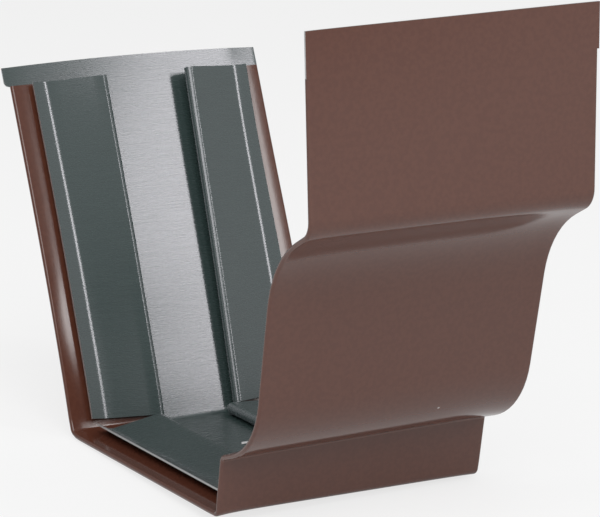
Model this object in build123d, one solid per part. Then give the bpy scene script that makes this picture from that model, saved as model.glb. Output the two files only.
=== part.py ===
from build123d import *
import os
from math import acos, atan2, cos, degrees, hypot, radians, sin, tan

# Slip connector for a K-style rain gutter: one aluminium sheet, notched, hemmed, folded and bent.
# Frame: +X runs along the gutter, +Y is towards the fascia, +Z is up.
# The origin is the middle of the underside of the bottom. Millimetres and degrees.

# Sheet
sheet = 0.5

# Fold at each end of the connector, seen along the profile
length = 76.2
hem_gap = 0.4
hem_width = 27.0
flap_fold_inside = 1.1
flap_width = 21.2
lip_width = 4.2
lip_rise = 12.0
crease_inside = 6.0
pocket_gap = 0.75

# Profile, from the back wall to the front plate; corners are where the flat outer faces would meet
back_height = 100.8
back_splay = 22.5
back_bend_inside = 0.5
bottom_width = 85.2
front_bend_inside = 0.6
lower_face_height = 16.6
lower_face_lean = 10.2
step_bend_outside = 1.5
ledge_rise = 19.0
ledge_depth = 4.7
lower_curve_radius = 22.8
middle_face_lean = 11.7
middle_face_height = 24.6
upper_curve_radius = 26.2
shelf_rise = 28.0
shelf_depth = 4.4
plate_bend_inside = 1.5
plate_lean = -1.6
plate_height = 44.2

# Plain strips at the two top edges, where there is no hem
back_strip = 5.4
back_strip_near_overhang = 1.4
back_strip_far_overhang = 0.2
front_strip = 11.0
front_strip_overhang = 0.2

# Notches: how far each flap stops short of the bend beside it
back_flap_notch = 0.4
bottom_flap_back_notch = 3.6
bottom_flap_front_notch = 3.5
lower_face_flap_notch = 3.0
step_flap_notch = 0.4

# Fold radii and heights, on the middle of the sheet unless named otherwise
hem_fold_radius = (hem_gap + sheet) / 2
hem_stack = 2 * sheet + hem_gap
flap_fold_radius = flap_fold_inside + sheet / 2
fold_stack = hem_stack + 2 * flap_fold_inside + sheet
crease_radius = crease_inside + sheet / 2

# The flap slopes down from its fold, so that the pocket is pocket_gap high at the crease
band_width = flap_width - lip_width - flap_fold_radius
crease_rise = pocket_gap + sheet
band_reach = hypot(flap_fold_radius, band_width)
band_tilt = acos((crease_rise - flap_fold_radius) / band_reach)
band_slope = degrees(band_tilt - atan2(band_width, flap_fold_radius))

# Outer bend radii: the layers inside each bend keep their inside radius
back_bend_radius = hem_stack + back_bend_inside
front_bend_radius = hem_stack + front_bend_inside
plate_bend_radius = fold_stack + plate_bend_inside


def setback(radius, turn):
    """Distance from a sharp corner to where its bend begins: r tan(turn / 2)."""
    return radius * tan(radians(abs(turn)) / 2)


def one_side(start, heading, steps, side):
    """Edges parallel to a path, on its left for a positive side. A step is straight length, turn, radius."""
    angle = radians(heading)
    point = Vector(*start) + Vector(-sin(angle), cos(angle)) * side
    edges = []
    for straight, turn, radius in steps:
        along = Vector(cos(angle), sin(angle))
        end = point + along * straight
        edges.append(Line(point, end))
        point = end
        if turn:
            shift = -side if turn > 0 else side
            bend = JernArc(point, along, radius + shift, turn)
            edges.append(bend)
            point = bend @ 1
            angle = angle + radians(turn)
    return edges


def strip(start, heading, steps):
    """Face of one sheet thickness whose middle follows the path."""
    left = one_side(start, heading, steps, sheet / 2)
    right = one_side(start, heading, steps, -sheet / 2)
    ends = [Line(left[0] @ 0, right[0] @ 0), Line(left[-1] @ 1, right[-1] @ 1)]
    return make_face(left + right + ends)


def both_ends(steps):
    """Section of the sheet across the profile: x along the gutter, y inwards, both ends folded alike."""
    near_half = strip((0, sheet / 2), 180, steps)
    return near_half + mirror(near_half, about=Plane.YZ)


def plain_section(near_overhang, far_overhang):
    """Section without folds, for the strips at the top edges."""
    near = -length / 2 - near_overhang
    far = length / 2 + far_overhang
    outline = Polyline((near, 0), (far, 0), (far, sheet), (near, sheet), close=True)
    return make_face(outline)


# The three sections along the profile
wall_half = length / 2 - hem_fold_radius - sheet / 2
hem_run = hem_width - hem_fold_radius - flap_fold_radius - sheet
crease_turn = band_slope + lip_rise
crease_setback = setback(crease_radius, crease_turn)
hem_steps = [(wall_half, -180, hem_fold_radius), (hem_run, 0, 0)]
flap_steps = [
    (wall_half, -180, hem_fold_radius),
    (hem_run, 180 + band_slope, flap_fold_radius),
    (band_width - crease_setback, -crease_turn, crease_radius),
    (lip_width - crease_setback, 0, 0),
]
hemmed = both_ends(hem_steps)
flapped = both_ends(flap_steps)
back_plain = plain_section(back_strip_near_overhang, back_strip_far_overhang)
front_plain = plain_section(front_strip_overhang, front_strip_overhang)

# Turns of the profile: positive towards the inside of the trough
back_turn = 90 - back_splay
front_turn = 90 - lower_face_lean
step_turn = ledge_rise - front_turn
lower_curve_turn = 90 - middle_face_lean - ledge_rise
upper_curve_turn = shelf_rise - 90 + middle_face_lean
plate_turn = 90 - plate_lean - shelf_rise

# Flat lengths between the bends
back_setback = setback(back_bend_radius, back_turn)
front_setback = setback(front_bend_radius, front_turn)
step_setback = setback(step_bend_outside, step_turn)
back_flap = back_height - back_setback - back_strip - back_flap_notch
bottom_flap = bottom_width - back_setback - front_setback - bottom_flap_back_notch - bottom_flap_front_notch
lower_flap = lower_face_height - front_setback - step_setback - lower_face_flap_notch - step_flap_notch
plate_flap = plate_height - front_strip

# The sheet from the top of the back wall, down, forwards and up: section, flat length, then turn and radius
runs = [
    (back_plain, back_strip, 0, 0),
    (flapped, back_flap, 0, 0),
    (hemmed, back_flap_notch, back_turn, back_bend_radius),
    (hemmed, bottom_flap_back_notch, 0, 0),
    (flapped, bottom_flap, 0, 0),
    (hemmed, bottom_flap_front_notch, front_turn, front_bend_radius),
    (hemmed, lower_face_flap_notch, 0, 0),
    (flapped, lower_flap, 0, 0),
    (hemmed, step_flap_notch, step_turn, step_bend_outside),
    (hemmed, step_flap_notch, 0, 0),
    (flapped, ledge_depth - step_flap_notch, lower_curve_turn, lower_curve_radius),
    (flapped, middle_face_height, upper_curve_turn, upper_curve_radius),
    (flapped, shelf_depth, plate_turn, plate_bend_radius),
    (flapped, plate_flap, 0, 0),
    (front_plain, front_strip, 0, 0),
]


def bent_sheet():
    """Extrude each flat and revolve each bend, one after the other, and join them into one sheet."""
    splay = radians(back_splay)
    back = bottom_width / 2 + back_height * sin(splay)
    point = Vector(0, back, back_height * cos(splay))
    heading = radians(back_splay - 90)
    pieces = []
    for section, flat, turn, radius in runs:
        along = Vector(0, -cos(heading), sin(heading))
        place = Plane(origin=point, x_dir=(1, 0, 0), z_dir=along)
        pieces.append(extrude(place * section, amount=flat))
        point = point + along * flat
        if turn:
            place = Plane(origin=point, x_dir=(1, 0, 0), z_dir=along)
            inwards = 1 if turn > 0 else -1
            centre = point + place.y_dir * (inwards * radius)
            hinge = Axis(centre, (-inwards, 0, 0))
            pieces.append(revolve(place * section, axis=hinge, revolution_arc=abs(turn)))
            heading = heading + radians(turn)
            outwards = Vector(0, -sin(heading), -cos(heading))
            point = centre + outwards * (inwards * radius)
    return Part() + pieces


connector_sheet = bent_sheet()

os.makedirs("parts", exist_ok=True)
export_step(connector_sheet, "parts/connector_sheet.step")
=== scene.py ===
import bpy
import numpy as np
from mathutils import Matrix


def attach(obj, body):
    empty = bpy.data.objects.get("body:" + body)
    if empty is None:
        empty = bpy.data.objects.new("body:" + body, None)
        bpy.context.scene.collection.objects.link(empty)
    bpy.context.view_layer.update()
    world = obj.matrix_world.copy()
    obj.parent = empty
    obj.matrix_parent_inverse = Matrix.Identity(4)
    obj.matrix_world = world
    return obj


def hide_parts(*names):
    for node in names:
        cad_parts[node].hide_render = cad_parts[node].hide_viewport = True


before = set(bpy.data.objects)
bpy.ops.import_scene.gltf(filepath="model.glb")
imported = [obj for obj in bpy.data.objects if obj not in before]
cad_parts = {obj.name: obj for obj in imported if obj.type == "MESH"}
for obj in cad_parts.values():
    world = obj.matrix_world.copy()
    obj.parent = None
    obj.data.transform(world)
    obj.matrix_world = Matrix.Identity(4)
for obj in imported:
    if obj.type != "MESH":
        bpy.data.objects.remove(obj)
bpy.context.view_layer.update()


# The connector is one aluminium sheet with brown coil paint outside and a grey wash coat inside.
# Each end is hemmed inwards and folded back on itself to make a pocket for the gutter,
# then the sheet is notched at the corners and bent to the gutter's profile. Metres and degrees.
mm = 0.001
sheet = 0.5 * mm
length = 76.2 * mm
hem_gap = 0.4 * mm
hem_width = 27.0 * mm
fold_inside = 1.1 * mm
flap_width = 21.2 * mm
lip_width = 4.2 * mm
lip_rise = 12.0
crease_inside = 6.0 * mm
pocket_gap = 0.75 * mm

hem_stack = 2 * sheet + hem_gap
fold_stack = hem_stack + 2 * fold_inside + sheet
hem_radius = (hem_gap + sheet) / 2
fold_radius = fold_inside + sheet / 2
crease_radius = crease_inside + sheet / 2
band_width = flap_width - lip_width - fold_radius
band_reach = np.hypot(fold_radius, band_width)
band_tilt = np.arccos((pocket_gap + sheet - fold_radius) / band_reach)
band_slope = np.degrees(band_tilt - np.arctan2(band_width, fold_radius))


def setback(radius, turn):
    """Distance from a sharp corner to where its bend begins: r tan(turn / 2)."""
    return radius * np.tan(np.radians(abs(turn)) / 2)


def bent_line(heading, runs):
    """Arc lengths and headings at the ends of each flat and bend; a run is a flat, a turn and its radius."""
    flats, turns, radii = np.array(runs, float).T
    turns = np.radians(turns)
    spans = np.stack([flats, radii * np.abs(turns)], axis=1).ravel()
    swings = np.stack([np.zeros_like(turns), turns], axis=1).ravel()
    knots = np.concatenate([[0.0], np.cumsum(spans)])
    headings = np.radians(heading) + np.concatenate([[0.0], np.cumsum(swings)])
    return knots, headings


def places(line, at):
    """Points on a bent line at given arc lengths: running sums of the heading's cosine and sine."""
    samples = 30001
    knots, headings = line
    fine = np.unique(np.concatenate([np.linspace(knots[0], knots[-1], samples), knots]))
    middle = np.interp((fine[1:] + fine[:-1]) / 2, knots, headings)
    step = np.diff(fine)
    along = np.concatenate([[0.0], np.cumsum(np.cos(middle) * step)])
    across = np.concatenate([[0.0], np.cumsum(np.sin(middle) * step)])
    return np.interp(at, fine, along), np.interp(at, fine, across), np.interp(at, knots, headings)


def stations(line, pitch, turn_step):
    """Arc lengths of the grid lines: every pitch along a flat and every turn_step degrees round a bend."""
    knots, headings = line
    swings = np.degrees(np.abs(np.diff(headings)))
    counts = np.ceil(np.maximum(np.diff(knots) / pitch, swings / turn_step)).astype(int)
    spans = zip(knots[:-1], knots[1:], counts)
    rows = [np.linspace(start, end, count, endpoint=False) for start, end, count in spans if count]
    return np.concatenate(rows + [knots[-1:]])


def ease(share):
    """Smooth step from 0 to 1: 3t² - 2t³ with t clipped to 0..1."""
    share = np.clip(share, 0.0, 1.0)
    return share * share * (3 - 2 * share)


# Section across the profile, from the near flap's free edge to the far flap's
crease_turn = band_slope + lip_rise
crease_setback = setback(crease_radius, crease_turn)
lip_run = lip_width - crease_setback
band_run = band_width - crease_setback
hem_run = hem_width - hem_radius - fold_radius - sheet
wall_run = length - 2 * hem_radius - sheet
section_line = bent_line(-lip_rise, [
    (lip_run, crease_turn, crease_radius),
    (band_run, -180 - band_slope, fold_radius),
    (hem_run, 180, hem_radius),
    (wall_run, 180, hem_radius),
    (hem_run, -180 - band_slope, fold_radius),
    (band_run, crease_turn, crease_radius),
    (lip_run, 0, 0),
])
section_knots = section_line[0]
section_length = section_knots[-1]
fold_end, hem_end, wall_start = section_knots[4:7]
hem_arc = wall_start - hem_end

# Profile of the sheet, from the top of the back wall down, forwards and up to the top of the front plate
back_height = 100.8 * mm
back_splay = 22.5
back_bend_inside = 0.5 * mm
bottom_width = 85.2 * mm
front_bend_inside = 0.6 * mm
lower_face_height = 16.6 * mm
lower_face_lean = 10.2
step_radius = 1.5 * mm
ledge_rise = 19.0
ledge_depth = 4.7 * mm
lower_curve_radius = 22.8 * mm
middle_face_lean = 11.7
middle_face_height = 24.6 * mm
upper_curve_radius = 26.2 * mm
shelf_rise = 28.0
shelf_depth = 4.4 * mm
plate_bend_inside = 1.5 * mm
plate_lean = -1.6
plate_height = 44.2 * mm
back_strip = 5.4 * mm
back_strip_overhang = 1.4 * mm
front_strip = 11.0 * mm
strip_overhang = 0.2 * mm
back_radius = hem_stack + back_bend_inside
front_radius = hem_stack + front_bend_inside
plate_radius = fold_stack + plate_bend_inside
back_turn = 90 - back_splay
front_turn = 90 - lower_face_lean
step_turn = ledge_rise - front_turn
back_setback = setback(back_radius, back_turn)
front_setback = setback(front_radius, front_turn)
step_setback = setback(step_radius, step_turn)
corner_notch = 0.4 * mm
bottom_back_notch = 3.6 * mm
bottom_front_notch = 3.5 * mm
lower_face_notch = 3.0 * mm
back_flap = back_height - back_setback - back_strip - corner_notch
bottom_flap = bottom_width - back_setback - front_setback - bottom_back_notch - bottom_front_notch
lower_flap = lower_face_height - front_setback - step_setback - lower_face_notch - corner_notch

# Each run of the profile: how the sheet's ends are folded there, then its flat, turn and radius
FLAP, HEM, PLAIN = 0, 1, 2
profile_runs = [
    (PLAIN, back_strip, 0, 0),
    (FLAP, back_flap, 0, 0),
    (HEM, corner_notch, back_turn, back_radius),
    (HEM, bottom_back_notch, 0, 0),
    (FLAP, bottom_flap, 0, 0),
    (HEM, bottom_front_notch, front_turn, front_radius),
    (HEM, lower_face_notch, 0, 0),
    (FLAP, lower_flap, 0, 0),
    (HEM, corner_notch, step_turn, step_radius),
    (HEM, corner_notch, 0, 0),
    (FLAP, ledge_depth - corner_notch, 90 - middle_face_lean - ledge_rise, lower_curve_radius),
    (FLAP, middle_face_height, shelf_rise - 90 + middle_face_lean, upper_curve_radius),
    (FLAP, shelf_depth, 90 - plate_lean - shelf_rise, plate_radius),
    (FLAP, plate_height - front_strip, 0, 0),
    (PLAIN, front_strip, 0, 0),
]
profile_line = bent_line(back_splay - 90, [run[1:] for run in profile_runs])
run_ends = profile_line[0][2::2]
run_folds = np.array([run[0] for run in profile_runs])
plate_strip = run_ends[-1] - front_strip
back_foot = run_ends[1]
bottom_back, bottom_front = run_ends[3:5]
lower_foot, lower_top = run_ends[6:8]
back_corner = (back_foot + bottom_back) / 2
front_corner = (bottom_front + lower_foot) / 2


def wall_rise(v):
    """Share of the way up the back wall: 0 at its foot and 1 at its top."""
    return np.clip((back_foot - v) / back_foot, 0, 1)


def toward_front(v):
    """Share of the way over the bottom: 0 at its back and 1 at its front."""
    return np.clip((v - bottom_back) / (bottom_front - bottom_back), 0, 1)


def hem_shares(s):
    """How far round the near and the far hem fold: 0 on the wall and 1 from the hem layer inwards."""
    near = np.clip((wall_start - s) / hem_arc, 0, 1)
    far = np.clip((wall_start - section_length + s) / hem_arc, 0, 1)
    return near[:, None], far[:, None]


def notch_recess(v):
    """Shift of a flap's free edge along the profile: one notch's slant fading into the other notch's."""
    slant = 1.2 * mm
    flap_ends = [
        (back_strip, back_foot, 0.0, 1.5 * slant),
        (bottom_back, bottom_front, 0.3 * slant, slant),
        (lower_foot, lower_top, slant / 2, 0.0),
    ]
    recess = np.zeros_like(v)
    for start, end, first, last in flap_ends:
        share = (v - start) / (end - start)
        inside = (share >= 0) & (share <= 1)
        recess = np.where(inside, first * (1 - share) - last * share, recess)
    return recess


def strip_reach(v):
    """How far the back strip stands out past the near hem, its lower corner rounded: a quarter circle."""
    rise = np.clip(back_strip - v, 0, back_strip_overhang)
    return np.sqrt(back_strip_overhang ** 2 - (back_strip_overhang - rise) ** 2)


def wall_bulge(across, v):
    """Outward push of the back wall: its near end curls in low and out at the top, its far end leans out.

    Each curl is a height over the wall's rise, times a power of the share of the way from the far end.
    The sharp curl is a bell low on the wall, taken off the slow one. The far top corner is dented out.
    """
    sharp_curl = 0.45 * mm
    sharp_rise = 0.28
    sharp_spread = 0.13
    slow_curl = 1.2 * mm
    top_curl = 0.4 * mm
    far_lean = 1.15 * mm
    lean_start = 0.25
    lean_span = 0.6
    corner_dent = 0.3 * mm
    dent_start = 0.73
    dent_span = 0.21
    rise = wall_rise(v)
    from_far = np.clip((1 - across) / 2, 0, 1.1)
    sharp = sharp_curl * np.exp(-((rise - sharp_rise) / sharp_spread) ** 2)
    slow = slow_curl * np.sin(np.pi * rise ** 0.68) - sharp
    near = top_curl * rise ** 2 * from_far ** 2 - slow * from_far ** 1.5 - sharp * from_far ** 11
    far = far_lean * ease((rise - lean_start) / lean_span) * (1 + across) / 2
    dent = corner_dent * ease((across - dent_start) / dent_span) * rise ** 12
    return near + far + dent


def fold_drift(s, v):
    """Shift along the gutter of folds out of true: straight from bend to bend, times a share of the section.

    The share is 1 round the inner fold, small at the crease, and 0 at the free edge and the hem's fold.
    """
    bends = [back_strip, back_foot, bottom_back, bottom_front, lower_foot]
    near_drift = np.array([0.3, 0.4, -1.5, -1.5, 0]) * mm
    far_drift = np.array([1.8, -1.2, -4.5, -4.5, 0]) * mm
    share = np.interp(s, section_knots[:6], [0, 0.08, 0.12, 1, 1, 0])[:, None]
    return share * np.interp(v, bends, near_drift) + share[::-1] * np.interp(v, bends, far_drift)


def back_flap_lift(s, x, v):
    """How far flaps stand off the back wall: a height over its rise, times a power of the way inwards.

    It sets in round the hem's fold. Towards the wall's foot the near flap's band is pressed down again.
    """
    near_top_lift = 1.8 * mm
    far_foot_lift = 0.9 * mm
    far_top_lift = 2.6 * mm
    band_press = 1.2 * mm
    rise = wall_rise(v)
    near_share, far_share = hem_shares(s)
    power = np.interp(s, section_knots[3:5], [1.6, 2.5])[:, None]
    near_lift = near_top_lift * rise * (np.clip(length / 2 + x, 0, None) / hem_width) ** power
    far_lift = far_foot_lift + far_top_lift * rise
    far_lift = far_lift * (np.clip(length / 2 - x, 0, None) / hem_width) ** power[::-1]
    band_share = np.interp(s, section_knots[:5], [0, 0.15, 0.2, 1, 0])[:, None]
    press = band_press * (1 - rise) * band_share
    return (v < back_corner) * (near_lift * near_share + far_lift * far_share - press)


def bottom_flap_press(s, v):
    """Rise of the bottom's near flap: heights at its lip, crease and fold, blended from back to front."""
    back_heights = np.array([0.6, -0.55, -0.7, 0]) * mm
    front_heights = np.array([0.3, -0.1, -0.2, 0]) * mm
    at_back = np.interp(s, section_knots[:4], back_heights)[:, None]
    at_front = np.interp(s, section_knots[:4], front_heights)[:, None]
    on_bottom = (v > back_corner) & (v < front_corner)
    return on_bottom * (at_back * (1 - toward_front(v)) + at_front * toward_front(v))


def end_flare(x, v):
    """Outward push that the hemming gave the ends: heights that fade exponentially on the way inwards.

    The near end of the back bend is pushed in instead: a bell over the bend, fading straight along it.
    """
    back_flare = 0.06 * mm
    back_fade = 1.2 * mm
    front_flare = 0.4 * mm
    front_fade = 4 * mm
    bottom_fade = 4 * mm
    bottom_flare = 0.15 * mm
    bottom_front_flare = 0.45 * mm
    soft_corner = 0.7 * mm
    corner_spread = 2.2 * mm
    corner_fade = 14 * mm
    edge = length / 2 - np.abs(x)
    near_edge = np.clip(length / 2 + x, 0, None)
    on_back = ease((bottom_back - v) / (bottom_back - back_foot))
    on_front = ease((v - bottom_front) / (lower_foot - bottom_front))
    on_bottom = (1 - on_back) * (1 - on_front)
    back = back_flare * on_back * np.exp(-edge / back_fade)
    front = front_flare * on_front * np.exp(-edge / front_fade)
    bottom = (bottom_flare + bottom_front_flare * toward_front(v)) * on_bottom
    bottom = bottom * np.exp(-near_edge / bottom_fade)
    bend_middle = (back_foot + corner_notch + bottom_back - bottom_back_notch) / 2
    bell = np.exp(-((v - bend_middle) / corner_spread) ** 2)
    corner = soft_corner * bell * np.clip(1 - near_edge / corner_fade, 0, 1)
    return back + front + bottom - corner


def bottom_sag(across, v):
    """Rise of the sheet out of level: low along the bottom's back, and at its front high near and low far.

    Up the back wall the sag fades with the cube of the way down, and up the lower face it fades straight.
    """
    back_drop = 1.6 * mm
    back_tilt = 0.1 * mm
    front_rise = 0.45 * mm
    front_tilt = 0.8 * mm
    share = np.clip((v - back_foot) / (lower_foot - back_foot), 0, 1)
    back = (back_tilt * across - back_drop) * np.clip(v / back_foot, 0, 1) ** 3
    front = (front_rise - front_tilt * across) * np.clip((lower_top - v) / (lower_top - lower_foot), 0, 1)
    return back * (1 - share) + front * share


def front_twist(x, y, z, across, v):
    """Points after the last twists, each growing straight over the bottom or up the plate.

    The back's near end is a little longer, the front is turned against the back, and its top is low near.
    """
    near_growth = 0.35 * mm
    foot_twist = 0.95 * mm
    twist_by_height = 0.0172
    plate_tilt = 0.8 * mm
    plate_drop = 0.6 * mm
    plate_foot = 85 * mm
    plate_span = 43 * mm
    front = toward_front(v)
    x = x - near_growth * (1 - front) * np.clip((1 - across) / 2, 0, 1)
    y = y + front * across * (foot_twist - twist_by_height * z)
    z = z + front * (plate_tilt * across - plate_drop) * np.clip((z - plate_foot) / plate_span, 0, None)
    return np.stack([x, y, z], axis=-1)


def sheet_middle():
    """Middle of the sheet as a grid: the profile's point plus the section's height along its inward normal.

    The hand forming is added as smooth shifts of the folds, the back wall and the front.
    Gives the section's and the profile's arc lengths at the grid lines, and the points.
    """
    pitch = 3.0 * mm
    s = stations(section_line, pitch, turn_step=11)
    v = stations(profile_line, pitch, turn_step=6)
    corner_rows = np.linspace(back_strip - back_strip_overhang, back_strip, 8)[:-1]
    back_rows = np.sort(np.concatenate([v[v <= back_strip], corner_rows]))
    body_rows = v[(v >= back_strip) & (v <= plate_strip)]
    front_rows = v[v >= plate_strip]
    rows = np.concatenate([back_rows, body_rows, front_rows])
    count = np.arange(len(rows))
    plain = (count < len(back_rows)) | (count >= len(rows) - len(front_rows))

    along, above, _ = places(section_line, s)
    wall_middle, wall_level, _ = places(section_line, np.array([section_length / 2]))
    x = np.tile((along - wall_middle)[:, None], (1, len(rows)))
    n = np.tile((above - wall_level + sheet / 2)[:, None], (1, len(rows)))
    v = np.tile(rows, (len(s), 1))

    # Plain strips: what is hem fold elsewhere lies flat and stands out past the hem
    wall_edge = length / 2 - hem_radius - sheet / 2
    near_reach = np.where(rows < back_foot, strip_reach(rows), strip_overhang)
    near_share, far_share = hem_shares(s)
    near_flat = -wall_edge - near_share * (length / 2 + near_reach - wall_edge)
    far_flat = wall_edge + far_share * (length / 2 + strip_overhang - wall_edge)
    x = np.where(plain & (near_share > 0), near_flat, x)
    x = np.where(plain & (far_share > 0), far_flat, x)
    n = np.where(plain, sheet / 2, n)
    across = x / (length / 2)

    # Notches: the cut ends of the flaps slant away from the bends
    from_far = section_length - s[:, None]
    edge_share = np.clip(1 - np.minimum(s[:, None], from_far) / fold_end, 0, 1)
    v = v + edge_share * notch_recess(v)

    # Folds out of true, the far free edge spread at the top, loose flaps, and the walls out of flat
    far_top_spread = 1.0 * mm
    far_edge = np.clip(1 - from_far / fold_end, 0, 1)
    x = x + fold_drift(s, v) + far_top_spread * far_edge * wall_rise(v) ** 6 * ~plain
    n = n + back_flap_lift(s, x, v) * ~plain + bottom_flap_press(s, v)
    n = n - wall_bulge(across, v) - end_flare(x, v)

    # The profile's points, with the back strip's top edge crowned
    strip_crown = 0.72 * mm
    crown = strip_crown * np.clip(1 - v / back_strip, 0, 1) * np.clip(1 - across ** 2, 0, 1)
    forward, height, heading = places(profile_line, v)
    splay = np.radians(back_splay)
    y = bottom_width / 2 + (back_height + crown) * np.sin(splay) - forward + np.sin(heading) * n
    z = (back_height + crown) * np.cos(splay) + height + np.cos(heading) * n
    z = z + bottom_sag(across, v)
    return s, rows, front_twist(x, y, z, across, v)


def sheet_mesh(name):
    """Mesh of the grid's cells: all of them along a flap, fewer where the ends are only hemmed or plain."""
    s, rows, points = sheet_middle()
    cell_s = (s[1:] + s[:-1]) / 2
    cell_v = (rows[1:] + rows[:-1]) / 2
    first = np.array([0.0, fold_end, hem_end])
    start = first[run_folds[np.searchsorted(run_ends, cell_v)]]
    kept = (cell_s[:, None] > start) & (cell_s[:, None] < section_length - start) & (np.diff(rows) > 0)
    number = np.arange(points[..., 0].size).reshape(points.shape[:2])
    corners = np.stack([number[:-1, :-1], number[1:, :-1], number[1:, 1:], number[:-1, 1:]], axis=-1)
    cells = corners[kept]
    flat = points.reshape(-1, 3)
    merge_digits = 7
    rounded = np.round(flat, merge_digits)
    _, chosen, merged = np.unique(rounded, axis=0, return_index=True, return_inverse=True)
    merged = merged.ravel()
    used, faces = np.unique(merged[cells], return_inverse=True)
    mesh = bpy.data.meshes.new(name)
    mesh.from_pydata(flat[chosen[used]], [], faces.reshape(-1, 4).tolist())
    grain = np.stack(np.broadcast_arrays(s[:, None], rows), axis=-1).reshape(-1, 2)
    layer = mesh.uv_layers.new(name="grain")
    layer.uv.foreach_set("vector", grain[cells.ravel()].astype(np.float32).ravel())

    # A texture space far off in front gives the coat's gloss one direction, along the gutter, all over
    mesh.use_auto_texspace = False
    mesh.texspace_location = (0, -10, 0)
    mesh.texspace_size = (1, 1, 1)
    mesh.shade_smooth()
    mesh.update()
    return mesh


class Shade:
    """A value in a material: an expression on it adds Math nodes to the material's tree."""

    def __init__(self, tree, socket=None):
        self.tree = tree
        self.socket = socket

    def node(self, kind, settings, sockets, output=0):
        """Add a node, with its settings first and then the values or links of its sockets."""
        made = self.tree.nodes.new(kind)
        for name, setting in settings.items():
            setattr(made, name, setting)
        for name, value in sockets.items():
            if isinstance(value, Shade):
                self.tree.links.new(value.socket, made.inputs[name])
            else:
                made.inputs[name].default_value = value
        return Shade(self.tree, made.outputs[output])

    def maths(self, operation, *values):
        """Math node on the given values."""
        return self.node("ShaderNodeMath", {"operation": operation}, dict(enumerate(values)))

    def __add__(self, other):
        return self.maths("ADD", self, other)

    def __radd__(self, other):
        return self.maths("ADD", other, self)

    def __sub__(self, other):
        return self.maths("SUBTRACT", self, other)

    def __rsub__(self, other):
        return self.maths("SUBTRACT", other, self)

    def __mul__(self, other):
        return self.maths("MULTIPLY", self, other)

    def __rmul__(self, other):
        return self.maths("MULTIPLY", other, self)

    def between(self, low, high):
        """0 below low, 1 above high and a smooth rise between them."""
        span = {"From Min": low, "From Max": high, "Value": self}
        return self.node("ShaderNodeMapRange", {"interpolation_type": "SMOOTHSTEP"}, span)

    def blend(self, start, end):
        """Colour that goes from start to end as this value goes from 0 to 1."""
        return self.node("ShaderNodeMix", {"data_type": "RGBA"}, {0: self, 6: start, 7: end}, 2)

    def stretched(self, scales):
        """This vector with each axis multiplied by its scale."""
        return self.node("ShaderNodeVectorMath", {"operation": "MULTIPLY"}, {0: self, 1: scales})

    def noise(self, scale, detail):
        """Noise between 0 and 1 at this place."""
        return self.node("ShaderNodeTexNoise", {}, {"Vector": self, "Scale": scale, "Detail": detail})


def finish_of(name):
    """A new material, its tree as a Shade, and its Principled shader."""
    material = bpy.data.materials.new(name)
    material.use_nodes = True
    return material, Shade(material.node_tree), material.node_tree.nodes["Principled BSDF"]


def connect(shade, shader, socket):
    """Feed a value to one of the shader's sockets."""
    shade.tree.links.new(shade.socket, shader.inputs[socket])


def brown_paint():
    """Satin brown coil paint: faintly mottled, with a fine orange peel and a few grains of white dust."""
    material, tree, shader = finish_of("brown_paint")
    place = tree.node("ShaderNodeTexCoord", {}, {}, "Object")
    brown = (0.104, 0.036, 0.022, 1)
    dark_brown = (0.094, 0.031, 0.019, 1)
    dust = (0.55, 0.52, 0.50, 1)
    mottle = place.noise(scale=900, detail=2).between(0.35, 0.65)
    grains = tree.node("ShaderNodeTexVoronoi", {}, {"Vector": place, "Scale": 95}, "Distance")
    sparse = place.noise(scale=40, detail=0).between(0.66, 0.68)
    speck = (1 - grains.between(0.02, 0.04)) * sparse
    connect(speck.blend(mottle.blend(dark_brown, brown), dust), shader, "Base Color")
    shader.inputs["IOR"].default_value = 1.6
    cloud = place.noise(scale=60, detail=3)
    connect(0.12 + 0.05 * cloud, shader, "Roughness")
    peel = place.noise(scale=700, detail=2)
    bump = tree.node("ShaderNodeBump", {}, {"Strength": 0.05, "Distance": 0.05 * mm, "Height": peel})
    connect(bump, shader, "Normal")
    return material


def wash_coat():
    """Thin grey wash coat over rolled aluminium: long fine streaks along the gutter under a soft gloss."""
    material, tree, shader = finish_of("wash_coat")
    grain = tree.node("ShaderNodeUVMap", {"uv_map": "grain"}, {})
    place = tree.node("ShaderNodeTexCoord", {}, {}, "Object")
    streaks_per_metre = (80, 5000, 1)
    streak = grain.stretched(streaks_per_metre).noise(scale=1, detail=2)
    cloud = place.noise(scale=45, detail=2)
    grey = (0.044, 0.068, 0.064, 1)
    dark_grey = (0.035, 0.057, 0.054, 1)
    connect((0.7 * streak + 0.3 * cloud).between(0.3, 0.7).blend(dark_grey, grey), shader, "Base Color")
    shader.inputs["IOR"].default_value = 2.4
    shader.inputs["Specular Tint"].default_value = (0.98, 0.95, 1.0, 1)
    shader.inputs["Anisotropic"].default_value = 1.0
    shader.inputs["Anisotropic Rotation"].default_value = 0.25
    connect(0.24 + 0.06 * streak, shader, "Roughness")
    bump = tree.node("ShaderNodeBump", {}, {"Strength": 1.0, "Distance": 0.0012 * mm, "Height": streak})
    connect(bump, shader, "Normal")
    return material


def cut_edge():
    """Sheared edge of the bare aluminium, finely scored across the sheet."""
    material, tree, shader = finish_of("cut_edge")
    place = tree.node("ShaderNodeTexCoord", {}, {}, "Object")
    scores = place.noise(scale=2500, detail=2)
    dull = (0.55, 0.55, 0.55, 1)
    bright = (0.78, 0.78, 0.78, 1)
    connect(scores.blend(dull, bright), shader, "Base Color")
    shader.inputs["Metallic"].default_value = 1.0
    connect(0.32 + 0.15 * scores, shader, "Roughness")
    return material


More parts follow.
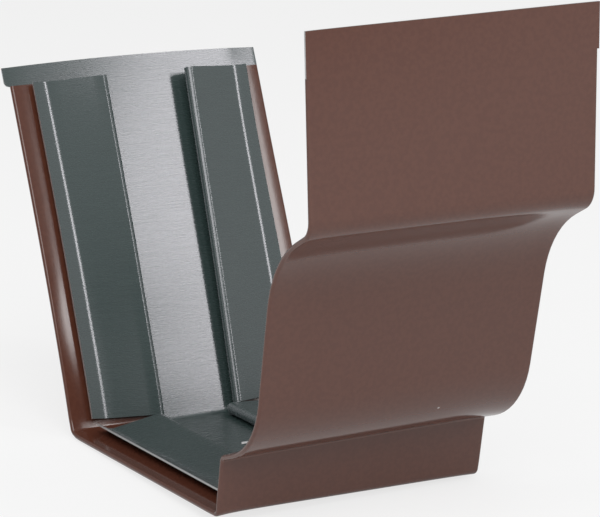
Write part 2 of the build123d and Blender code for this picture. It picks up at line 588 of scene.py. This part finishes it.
connector = bpy.data.objects.new("folded_connector", sheet_mesh("folded_connector"))
bpy.context.collection.objects.link(connector)
for finish in (brown_paint(), wash_coat(), cut_edge()):
    connector.data.materials.append(finish)
wall = connector.modifiers.new("sheet thickness", "SOLIDIFY")
wall.thickness = sheet
wall.offset = 0
wall.use_even_offset = True
wall.material_offset = 1
wall.material_offset_rim = 2
burr = connector.modifiers.new("dulled cut edges", "BEVEL")
burr.width = 0.06 * mm
burr.segments = 2
burr.limit_method = "ANGLE"
burr.angle_limit = np.radians(50)
burr.harden_normals = True
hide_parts("connector_sheet")
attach(connector, "root")


# The floor is a wide sheet of white paper that the connector stands on.
# It takes the connector's shadow, and reads as white paper in the picture and in the metal.
floor_half = 2.5
floor_level = -1.9 * mm
floor_mesh = bpy.data.meshes.new("paper_floor")
floor_corners = np.array([(-1, -1, 0), (1, -1, 0), (1, 1, 0), (-1, 1, 0)]) * floor_half
floor_corners[:, 2] = floor_level
floor_mesh.from_pydata(floor_corners.tolist(), [], [(0, 1, 2, 3)])
paper_floor = bpy.data.objects.new("paper_floor", floor_mesh)
bpy.context.collection.objects.link(paper_floor)


def white_paper():
    """Matt white paper, lifted towards plain white where the camera or a shiny surface sees it."""
    material, tree, shader = finish_of("white_paper")
    place = tree.node("ShaderNodeTexCoord", {}, {}, "Object")
    paper = (0.86, 0.86, 0.86, 1)
    pale_paper = (0.88, 0.88, 0.88, 1)
    fibre = place.noise(scale=300, detail=2)
    connect(fibre.blend(paper, pale_paper), shader, "Base Color")
    shader.inputs["Roughness"].default_value = 0.9
    camera_ray = tree.node("ShaderNodeLightPath", {}, {}, "Is Camera Ray")
    glossy_ray = tree.node("ShaderNodeLightPath", {}, {}, "Is Glossy Ray")
    passing_ray = tree.node("ShaderNodeLightPath", {}, {}, "Is Transmission Ray")
    lift = 0.75 * camera_ray + 0.3 * (glossy_ray + passing_ray)
    glow = tree.node("ShaderNodeEmission", {}, {"Color": (1, 1, 1, 1), "Strength": 1.0})
    lit = Shade(material.node_tree, shader.outputs["BSDF"])
    mixed = tree.node("ShaderNodeMixShader", {}, {0: lift, 1: lit, 2: glow})
    connect(mixed, material.node_tree.nodes["Material Output"], "Surface")
    return material


paper_floor.data.materials.append(white_paper())


# The studio has one broad soft box above the front and one narrow upright strip light to its right,
# in a dim grey room. The strip makes the bright bands and fold lines in the metal.
room_grey = (0.37, 0.37, 0.37, 1)
world = bpy.data.worlds.new("dim_room")
world.use_nodes = True
world.node_tree.nodes["Background"].inputs["Color"].default_value = room_grey
bpy.context.scene.world = world


def soft_box(name, azimuth, elevation, distance, width, height, watts):
    """Area lamp aimed at the connector: azimuth to the right of straight in front, elevation upwards.

    Its height lies across the gutter, so that all of it is equally far to the right.
    """
    a, e = np.radians([azimuth, elevation])
    back = np.array([np.sin(a) * np.cos(e), -np.cos(a) * np.cos(e), np.sin(e)])
    up = np.cross(back, [1, 0, 0])
    up = up / np.linalg.norm(up)
    right = np.cross(up, back)
    aim = np.array([0, 0, 60 * mm])
    lamp = bpy.data.lights.new(name, "AREA")
    lamp.shape = "RECTANGLE"
    lamp.size = width
    lamp.size_y = height
    lamp.energy = watts
    holder = bpy.data.objects.new(name, lamp)
    bpy.context.collection.objects.link(holder)
    place = np.eye(4)
    place[:3] = np.column_stack([right, up, back, aim + back * distance])
    holder.matrix_world = Matrix(place)


soft_box("broad_box", azimuth=-30, elevation=48, distance=1.6, width=1.4, height=1.4, watts=19)
soft_box("strip_light", azimuth=35.5, elevation=29.5, distance=1.4, width=0.2, height=0.45, watts=2.2)


# The camera stands in front and to the left, a little above the connector, with a long lens.
# Its place was fitted to the photograph's frame of 600 by 517.
frame_width = 600
focal_pixels = 2882.7
camera_azimuth, camera_elevation = np.radians([-28.585, 13.548])
camera_distance = 0.73169
camera_target = np.array([0, -0.0162, 0.0557])
eye_back = np.array([
    np.sin(camera_azimuth) * np.cos(camera_elevation),
    -np.cos(camera_azimuth) * np.cos(camera_elevation),
    np.sin(camera_elevation),
])
eye_right = np.array([np.cos(camera_azimuth), np.sin(camera_azimuth), 0])
eye_place = np.eye(4)
eye_place[:3] = np.column_stack([
    eye_right, np.cross(eye_back, eye_right), eye_back, camera_target + eye_back * camera_distance,
])
lens = bpy.data.cameras.new("camera")
lens.sensor_width = 36.0
lens.lens = focal_pixels / frame_width * lens.sensor_width
lens.clip_start = 0.01
camera = bpy.data.objects.new("camera", lens)
camera.matrix_world = Matrix(eye_place)
bpy.context.collection.objects.link(camera)
bpy.context.scene.camera = camera
bpy.context.scene.view_settings.view_transform = "Standard"
